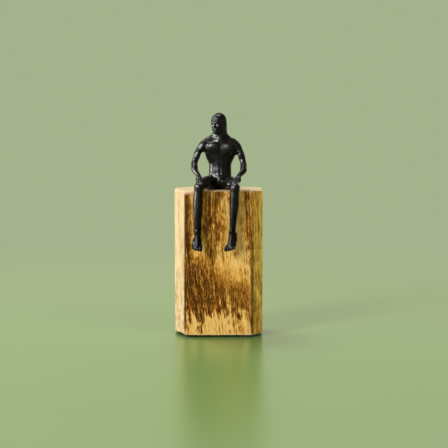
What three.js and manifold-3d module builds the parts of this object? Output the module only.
// A cast-metal sitter on a hardwood block: a desk ornament about 200 mm tall.
//
// A slim human figure, cast in one piece, sits on the front edge of an upright block of wood. Its
// hands rest on its knees and its lower legs hang down in front of the block. Two threaded rods,
// bonded into blind holes in the seat and in the block, hold it. Four felt pads carry the block.
//
// Millimetres, +Z up. The sitter faces -Y, so its own right hand is on the -X side. The origin is
// on the table, at the centre of the whole footprint: the block and the toes that reach past it.

import * as THREE from "three";
import { mergeVertices } from "three/addons/utils/BufferGeometryUtils.js";
import Module from "manifold-3d";

// ---------------------------------------------------------------- driving dimensions

const BLOCK = { width: 78, depth: 50, height: 130, edge: 1.4 };
const FELT = { radius: 6, thickness: 1.5, chamfer: 0.2, fromSide: 14, fromFace: 9 };
const ROD = { radius: 2, length: 30, chamfer: 0.5, spacing: 12, y: -3.5, inSeat: 8.5 };
const BOND_GAP = 0.3; // adhesive around each rod and over its ends
const LEG_GAP = 0.4; // between the casting and the front of the block
const TOE_REACH = 13.7; // how far the toes stand out in front of the block
const ROUND = 12; // facets around a limb

const SEAT_Z = FELT.thickness + BLOCK.height;

// What each upright corner of the block loses, across its width and along its depth.
const CORNER_CUTS = {
  frontRight: [9.5, 18],
  frontLeft: [9, 9],
  rearLeft: [11, 11],
  rearRight: [12, 13],
};

// ---------------------------------------------------------------- solids

const wasm = await Module();
wasm.setup();

// A closed three.js geometry as a manifold-3d solid.
function solidFrom(geometry) {
  const bare = geometry.clone();
  bare.deleteAttribute("normal");
  bare.deleteAttribute("uv");
  const welded = mergeVertices(bare, 1e-4);
  const vertProperties = new Float32Array(welded.getAttribute("position").array);
  const triVerts = new Uint32Array(welded.getIndex().array);
  return new wasm.Manifold(new wasm.Mesh({ numProp: 3, vertProperties, triVerts }));
}

// A manifold-3d solid as a three.js geometry.
function geometryFrom(solid) {
  const mesh = solid.getMesh();
  const geometry = new THREE.BufferGeometry();
  geometry.setAttribute("position", new THREE.BufferAttribute(mesh.vertProperties, mesh.numProp));
  geometry.setIndex(new THREE.BufferAttribute(mesh.triVerts, 1));
  geometry.computeVertexNormals();
  return geometry;
}

function join(solids) {
  return solids.reduce((whole, next) => whole.add(next));
}

const UP = new THREE.Vector3(0, 1, 0); // the axis a LatheGeometry turns about
const ONE = new THREE.Vector3(1, 1, 1);

// A rounded, tapering limb from one point to another. Radii are spaced evenly along it.
function limb(from, to, radii) {
  const start = new THREE.Vector3(...from);
  const span = new THREE.Vector3(...to).sub(start);
  const length = span.length();
  const first = radii[0];
  const last = radii[radii.length - 1];
  const side = new THREE.SplineCurve(
    radii.map((radius, i) => new THREE.Vector2(radius, (length * i) / (radii.length - 1))),
  );
  const heel = new THREE.EllipseCurve(0, 0, first, first, -Math.PI / 2, 0);
  const tip = new THREE.EllipseCurve(0, length, last, last, 0, Math.PI / 2);
  const steps = radii.length === 2 ? 1 : 2 * radii.length - 2;
  const profile = [...heel.getPoints(2), ...side.getPoints(steps).slice(1), ...tip.getPoints(2).slice(1)];
  profile[0].x = 0;
  profile[profile.length - 1].x = 0;
  const geometry = new THREE.LatheGeometry(profile, ROUND);
  const turn = new THREE.Quaternion().setFromUnitVectors(UP, span.normalize());
  return solidFrom(geometry.applyMatrix4(new THREE.Matrix4().compose(start, turn, ONE)));
}

// An ellipsoid. Angles are turns about X, Y and Z in degrees.
function blob(centre, radii, angles = [0, 0, 0]) {
  const geometry = new THREE.SphereGeometry(1, ROUND, 8);
  const turn = new THREE.Quaternion().setFromEuler(
    new THREE.Euler(...angles.map(THREE.MathUtils.degToRad)),
  );
  const [place, scale] = [new THREE.Vector3(...centre), new THREE.Vector3(...radii)];
  return solidFrom(geometry.applyMatrix4(new THREE.Matrix4().compose(place, turn, scale)));
}

// An upright cylinder, from its lower to its upper end.
function bar(x, y, bottom, top, radius) {
  const geometry = new THREE.CylinderGeometry(radius, radius, top - bottom, 24);
  geometry.rotateX(Math.PI / 2);
  return solidFrom(geometry.translate(x, y, (bottom + top) / 2));
}

// ---------------------------------------------------------------- the sitter's joints
//
// Points are [x, y, z] in the seat's frame: x and y from the middle of the block, z up from its top.

const SPINE_X = 1.5; // the trunk sits a little off the block's middle
const SITTER = {
  right: {
    shoulder: [-11.4, -6.5, 40.6],
    upperArm: [-18.8, -9.2, 32.6],
    elbow: [-21.4, -13, 22.6],
    wrist: [-17.8, -26, 13.2],
    knuckles: [-16.2, -31, 10.2],
    hip: [-5.2, -4.5, 5.4],
    knee: [-16.9, -31.2, 3.4],
    calf: [-18, -30.2, -10],
    ankle: [-17.9, -30.2, -39],
    toeTurn: -5,
  },
  left: {
    shoulder: [14.6, -6.5, 40.2],
    upperArm: [20.2, -9.4, 31],
    elbow: [22, -13, 21.6],
    wrist: [18.6, -26, 12.8],
    knuckles: [15.6, -31, 9.4],
    hip: [8, -4.5, 5.4],
    knee: [14.5, -31.2, 2.8],
    calf: [13.8, -30.2, -10],
    ankle: [12.4, -30.2, -38.2],
    toeTurn: -28,
  },
};
const HEAD = { centre: [0.3, -8.4, 59], turn: -28, nod: 8, height: 17.2 };
const FOOT = { length: 16.5, width: 8.8, heelWidth: 5, thickness: 3.4, edge: 1, droop: 42 };

// ---------------------------------------------------------------- the casting

// Half-widths of the trunk, from the seat up to the base of the neck, as [half-width, height].
const TRUNK = [
  [0, 0], // seat
  [8.5, 0.4],
  [11.6, 6], // hips
  [10.8, 13],
  [9.9, 21], // waist
  [11.6, 27],
  [14, 33], // chest
  [13.4, 39],
  [8, 44.5],
  [0, 47], // base of the neck
];
const TRUNK_DEPTH = 0.6; // its depth over its width

function trunk() {
  const [x, y] = [SPINE_X, -5.6];
  const curve = new THREE.SplineCurve(TRUNK.map(([half, z]) => new THREE.Vector2(half, z)));
  const profile = curve.getPoints(18);
  profile[0].x = 0;
  profile[profile.length - 1].x = 0;
  const torso = new THREE.LatheGeometry(profile, 2 * ROUND);
  torso.rotateX(Math.PI / 2).scale(1, TRUNK_DEPTH, 1).translate(x, y, 0);
  const neckTop = [HEAD.centre[0] + 0.9, -6.6, 54];
  return join([
    solidFrom(torso),
    blob([x - 5, -2.4, 5.4], [7.2, 8.6, 7]),
    blob([x + 5, -2.4, 5.4], [7.2, 8.6, 7]),
    blob([x - 5.9, y - 4.3, 36], [6.8, 3.8, 5.2], [14, 0, 16]),
    blob([x + 5.9, y - 4.3, 36], [6.8, 3.8, 5.2], [14, 0, -16]),
    limb(SITTER.right.shoulder, SITTER.left.shoulder, [4, 5.2, 5.6, 5.2, 4]),
    limb([x - 9, y, 41.5], [x - 1, y, 49], [3.4, 4.4]),
    limb([x + 9, y, 41.5], [x + 1, y, 49], [3.4, 4.4]),
    limb([x, y, 44], neckTop, [6, 5.7, 5.6]),
  ]);
}

// The head is made upright and facing -Y about its own centre, then turned.
function head() {
  const half = HEAD.height / 2;
  const parts = join([
    blob([0, 0.8, 1.2], [6.3, 7.6, half - 1.2]),
    blob([0, -1.8, -2.8], [5.3, 5.4, half - 2.8]),
    blob([0, 2.6, -1.4], [6.1, 5.8, half - 1.2]),
    limb([0, -6.6, 0.6], [0, -7.1, -2], [0.8, 1.1]),
    blob([-6.1, 0.6, -0.6], [0.9, 1.8, 2.4]),
    blob([6.1, 0.6, -0.6], [0.9, 1.8, 2.4]),
  ]);
  return parts.rotate([HEAD.nod, 0, HEAD.turn]).translate(HEAD.centre);
}

function arm({ shoulder, upperArm, elbow, wrist, knuckles }) {
  const [x, y, z] = knuckles;
  const finger = (across) => limb([x + across, y, z], [x + 1.4 * across, y - 3, z - 3.8], [1.4, 1.1]);
  return join([
    limb(shoulder, upperArm, [4, 2.9]),
    limb(upperArm, elbow, [2.9, 2.6, 2.7]),
    limb(elbow, wrist, [2.7, 2.6, 1.9]),
    limb(wrist, knuckles, [1.9, 2.3]),
    blob(knuckles, [3.6, 3.4, 1.9], [35, 0, 0]),
    finger(-1.5),
    finger(1.5),
  ]);
}

// A foot's outline from above, heel at y = 0 and toes at y = -length.
function footOutline() {
  const [ball, heel, edge] = [FOOT.width / 2, FOOT.heelWidth / 2, FOOT.edge];
  const toes = edge - FOOT.length;
  const shape = new THREE.Shape();
  shape.moveTo(edge - heel, -2);
  shape.lineTo(edge - ball, 4 - FOOT.length);
  shape.bezierCurveTo(edge - ball, toes, ball - edge, toes, ball - edge, 4 - FOOT.length);
  shape.lineTo(heel - edge, -2);
  shape.quadraticCurveTo(0, edge, edge - heel, -2);
  return shape;
}

// The foot hangs from its ankle, toes down by the droop angle and turned about the shin.
function foot({ ankle, toeTurn }) {
  const geometry = new THREE.ExtrudeGeometry(footOutline(), {
    depth: FOOT.thickness - 2 * FOOT.edge,
    bevelThickness: FOOT.edge,
    bevelSize: FOOT.edge,
    bevelSegments: 2,
    curveSegments: 5,
  });
  const sole = solidFrom(geometry).translate([0, 1.7, FOOT.edge - 5.6]);
  const instep = limb([0, 0, -0.5], [0, -6.5, -4], [2.7, 1.8]);
  const heel = limb([0, 0, 0], [0, 0.4, -3.6], [2.4, 2.4]);
  return join([sole, instep, heel]).rotate([FOOT.droop, 0, 0]).rotate([0, 0, toeTurn]).translate(ankle);
}

function leg({ hip, knee, calf, ankle }) {
  return join([
    limb(hip, knee, [6.4, 5.6, 4.2]),
    limb(knee, calf, [3.9, 4.1]),
    limb(calf, ankle, [4.1, 3.4, 2.4]),
  ]);
}

// The whole casting, with its seat cut flat, its legs kept off the block and a blind hole for each rod.
function seatedFigure() {
  const limbs = Object.values(SITTER).flatMap((side) => [arm(side), leg(side), foot(side)]);
  const body = join([trunk(), head(), ...limbs]);
  const clearance = new THREE.BoxGeometry(2 * BLOCK.width, BLOCK.depth + LEG_GAP, BLOCK.height);
  clearance.translate(0, -LEG_GAP / 2, -BLOCK.height / 2);
  const seated = body.subtract(solidFrom(clearance));
  return seated.subtract(rodHoles(-1, ROD.inSeat + BOND_GAP));
}

// ---------------------------------------------------------------- the block

const ROD_X = [SPINE_X - ROD.spacing / 2, SPINE_X + ROD.spacing / 2];

// The material taken out for both rods, from a bottom to a top height.
function rodHoles(bottom, top) {
  return join(ROD_X.map((x) => bar(x, ROD.y, bottom, top, ROD.radius + BOND_GAP)));
}

// The block's outline from above.
function blockOutline() {
  const [side, back] = [BLOCK.width / 2, BLOCK.depth / 2];
  const cuts = CORNER_CUTS;
  return new THREE.Shape([
    new THREE.Vector2(cuts.frontRight[0] - side, -back),
    new THREE.Vector2(side - cuts.frontLeft[0], -back),
    new THREE.Vector2(side, cuts.frontLeft[1] - back),
    new THREE.Vector2(side, back - cuts.rearLeft[1]),
    new THREE.Vector2(side - cuts.rearLeft[0], back),
    new THREE.Vector2(cuts.rearRight[0] - side, back),
    new THREE.Vector2(-side, back - cuts.rearRight[1]),
    new THREE.Vector2(-side, cuts.frontRight[1] - back),
  ]);
}

function woodBlock() {
  const geometry = new THREE.ExtrudeGeometry(blockOutline(), {
    depth: BLOCK.height - 2 * BLOCK.edge,
    bevelThickness: BLOCK.edge,
    bevelSize: BLOCK.edge,
    bevelOffset: -BLOCK.edge,
    bevelSegments: 3,
  });
  geometry.translate(0, 0, FELT.thickness + BLOCK.edge);
  const holeFloor = SEAT_Z + ROD.inSeat - ROD.length - BOND_GAP;
  return solidFrom(geometry).subtract(rodHoles(holeFloor, SEAT_Z + 1));
}

// ---------------------------------------------------------------- rods and felt pads

// A round bar about Z with chamfered ends, standing on z = 0.
function chamferedBar(radius, height, chamfer) {
  const profile = [
    new THREE.Vector2(0, 0),
    new THREE.Vector2(radius - chamfer, 0),
    new THREE.Vector2(radius, chamfer),
    new THREE.Vector2(radius, height - chamfer),
    new THREE.Vector2(radius - chamfer, height),
    new THREE.Vector2(0, height),
  ];
  return new THREE.LatheGeometry(profile, 2 * ROUND).rotateX(Math.PI / 2);
}

// ---------------------------------------------------------------- the assembly

const castIron = new THREE.MeshStandardMaterial({ color: 0x14140f, roughness: 0.38, metalness: 0.85 });
const mangoWood = new THREE.MeshStandardMaterial({ color: 0x9a6d2d, roughness: 0.6, metalness: 0 });
const zincSteel = new THREE.MeshStandardMaterial({ color: 0xb4b6b4, roughness: 0.35, metalness: 1 });
const blackFelt = new THREE.MeshStandardMaterial({ color: 0x0d0d0d, roughness: 1, metalness: 0 });

const model = new THREE.Group();
model.position.y = TOE_REACH / 2; // the origin is midway between the toes and the block's back

function addPart(name, geometry, material, x = 0, y = 0, z = 0) {
  const part = new THREE.Mesh(geometry, material);
  part.name = name;
  part.position.set(x, y, z);
  model.add(part);
}

addPart("wood_block", geometryFrom(woodBlock()), mangoWood);
addPart("seated_figure", geometryFrom(seatedFigure()), castIron, 0, 0, SEAT_Z);

const rod = chamferedBar(ROD.radius, ROD.length, ROD.chamfer);
const rodZ = SEAT_Z + ROD.inSeat - ROD.length;
addPart("threaded_rod_right", rod, zincSteel, ROD_X[0], ROD.y, rodZ);
addPart("threaded_rod_left", rod, zincSteel, ROD_X[1], ROD.y, rodZ);

const pad = chamferedBar(FELT.radius, FELT.thickness, FELT.chamfer);
const padX = BLOCK.width / 2 - FELT.fromSide;
const padY = BLOCK.depth / 2 - FELT.fromFace;
addPart("felt_pad_front_right", pad, blackFelt, -padX, -padY);
addPart("felt_pad_front_left", pad, blackFelt, padX, -padY);
addPart("felt_pad_rear_right", pad, blackFelt, -padX, padY);
addPart("felt_pad_rear_left", pad, blackFelt, padX, padY);

export default model;
